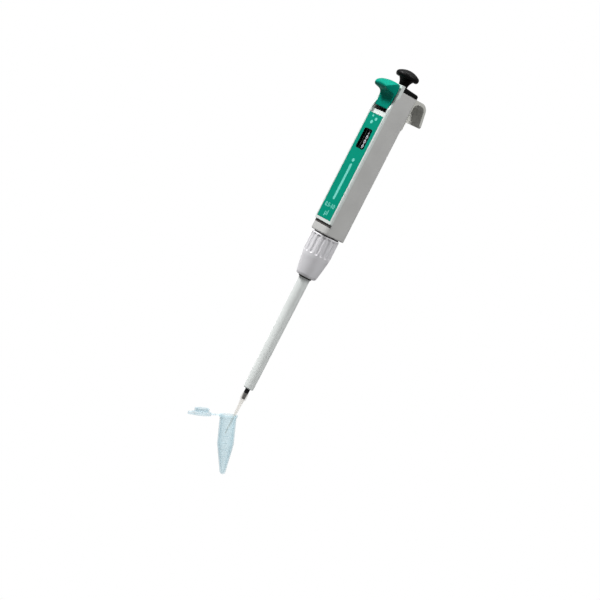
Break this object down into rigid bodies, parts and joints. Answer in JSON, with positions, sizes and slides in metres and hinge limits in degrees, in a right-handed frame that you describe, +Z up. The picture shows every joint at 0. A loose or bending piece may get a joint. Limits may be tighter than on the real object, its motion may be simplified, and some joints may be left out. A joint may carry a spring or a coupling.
{
  "type": "adjustable micropipette with tip and micro tube",
  "caption": "Single-channel adjustable air-displacement pipette with tip ejector, finger hook and slip-on tip, dipping into an open flip-lid micro tube.",
  "frame": {"origin": "orifice of the disposable tip, on the pipette's axis", "axes": "+Z up the pipette's axis to the push button, -Y the label face, +X the viewer's right when facing the label"},
  "size_m": [0.0299, 0.0462, 0.2868],
  "materials": {
    "housing_grey": "fine moulded texture",
    "cover_grey": "satin",
    "label_green": "satin printed film",
    "window_black": "gloss",
    "lens_clear": "clear",
    "black_plastic": "satin",
    "hook_grey": "fine moulded texture",
    "steel": "turned",
    "spring_steel": "drawn wire",
    "brass": "turned",
    "acetal": "satin",
    "rubber": "matt",
    "ptfe": "waxy",
    "shaft_plastic": "satin",
    "nozzle_black": "satin",
    "coupling_grey": "satin moulded",
    "key_green": "gloss moulded",
    "sleeve_grey": "satin",
    "tip_clear": "translucent",
    "tube_blue": "translucent",
    "wheel_black": "satin with pale digits"
  },
  "bodies": {
    "handle": {"housing_body": "housing_grey", "front_cover": "cover_grey", "cover_seal": "rubber", "label_plate": "label_green", "display_bezel": "window_black", "display_lens": "lens_clear", "top_cap": "black_plastic", "finger_hook": "hook_grey", "hook_screws": "steel", "upper_bearing": "acetal", "dial_friction_ring": "rubber", "counter_lower_plate": "acetal", "counter_upper_plate": "acetal", "wheel_bearing_tube": "steel", "shaft": "shaft_plastic", "nozzle": "nozzle_black", "shaft_gasket": "rubber", "coupling_washer": "rubber", "piston_seal": "ptfe", "seal_oring": "rubber", "seal_retainer": "brass", "primary_spring": "spring_steel", "ejector_springs": "spring_steel"},
    "volume_dial": {"volume_screw": "black_plastic", "screw_retaining_ring": "steel"},
    "plunger": {"push_button": "black_plastic", "plunger_rod": "steel", "plunger_clip": "steel"},
    "piston_assembly": {"piston_head": "acetal", "piston": "steel"},
    "stroke_stop": {"stop_nut": "acetal", "blowout_spring": "spring_steel"},
    "stop_collar": {"first_stop_collar": "brass"},
    "wheel_tens": {"number_wheel_1": "wheel_black"},
    "wheel_units": {"number_wheel_2": "wheel_black"},
    "wheel_tenths": {"number_wheel_3": "wheel_black"},
    "wheel_hundredths": {"number_wheel_4": "wheel_black"},
    "ejector": {"eject_key": "key_green", "ejector_yoke": "acetal", "ejector_rods": "steel", "ejector_crosshead": "acetal", "ejector_prongs": "steel", "ejector_sleeve": "sleeve_grey"},
    "coupling": {"coupling_nut": "coupling_grey", "sleeve_wiper": "rubber"},
    "tip": {"disposable_tip": "tip_clear"},
    "tube": {"microtube_body": "tube_blue"},
    "lid": {"microtube_lid": "tube_blue"}
  },
  "joints": [
    {"name": "volume_dial", "type": "hinge", "parent": "handle", "child": "volume_dial", "pos_m": [0, 0, 0.21], "axis": [0, 0, 1], "range_deg": [-3600, 0]},
    {"name": "plunger_press", "type": "slide", "parent": "volume_dial", "child": "plunger", "axis": [0, 0, -1], "range_m": [0, 0.0048], "stiffness_N_per_m": 1000, "springref_m": -0.003, "deforming": ["primary_spring", "blowout_spring"]},
    {"name": "piston_travel", "type": "slide", "parent": "handle", "child": "piston_assembly", "axis": [0, 0, -1], "range_m": [0, 0.0048]},
    {"name": "stroke_stop_travel", "type": "slide", "parent": "handle", "child": "stroke_stop", "axis": [0, 0, 1], "range_m": [0, 0.0035]},
    {"name": "stop_collar_travel", "type": "slide", "parent": "stroke_stop", "child": "stop_collar", "axis": [0, 0, -1], "range_m": [0, 0.00135]},
    {"name": "wheel_hundredths_turn", "type": "hinge", "parent": "handle", "child": "wheel_hundredths", "pos_m": [0, 0, 0.2056], "axis": [0, 0, 1], "range_deg": [-36000, 0]},
    {"name": "wheel_tenths_turn", "type": "hinge", "parent": "handle", "child": "wheel_tenths", "pos_m": [0, 0, 0.2088], "axis": [0, 0, 1], "range_deg": [-3600, 0]},
    {"name": "wheel_units_turn", "type": "hinge", "parent": "handle", "child": "wheel_units", "pos_m": [0, 0, 0.212], "axis": [0, 0, 1], "range_deg": [-360, 0]},
    {"name": "wheel_tens_turn", "type": "hinge", "parent": "handle", "child": "wheel_tens", "pos_m": [0, 0, 0.2152], "axis": [0, 0, 1], "range_deg": [-36, 0]},
    {"name": "ejector_press", "type": "slide", "parent": "handle", "child": "ejector", "axis": [0, 0, -1], "range_m": [0, 0.005], "stiffness_N_per_m": 500, "springref_m": -0.005, "deforming": ["ejector_springs"]},
    {"name": "tip_release", "type": "slide", "parent": "handle", "child": "tip", "axis": [0, 0, -1], "range_m": [0, 0.00155]},
    {"name": "coupling_turn", "type": "hinge", "parent": "handle", "child": "coupling", "pos_m": [0, 0, 0.13], "axis": [0, 0, 1], "range_deg": [-90, 0]},
    {"name": "tube_lift_off", "type": "slide", "parent": "handle", "child": "tube", "axis": [0, 0, -1], "range_m": [0, 0.05]},
    {"name": "lid_hinge", "type": "hinge", "parent": "tube", "child": "lid", "pos_m": [-0.00743, -0.00825, 0.00818], "axis": [-0.7431, 0.6691, 0], "range_deg": [0, 130]}
  ],
  "couplings": [
    {"joint": "stroke_stop_travel", "follows": "volume_dial", "m_per_rad": -0.000055704},
    {"joint": "wheel_hundredths_turn", "follows": "volume_dial", "ratio": 10},
    {"joint": "wheel_tenths_turn", "follows": "volume_dial", "ratio": 1},
    {"joint": "wheel_units_turn", "follows": "volume_dial", "ratio": 0.1},
    {"joint": "wheel_tens_turn", "follows": "volume_dial", "ratio": 0.01},
    {"joint": "piston_travel", "follows": "plunger_press", "ratio": 1},
    {"joint": "stop_collar_travel", "follows": "plunger_press", "ratio": 0.28125},
    {"joint": "tip_release", "follows": "ejector_press", "ratio": 0.31}
  ]
}
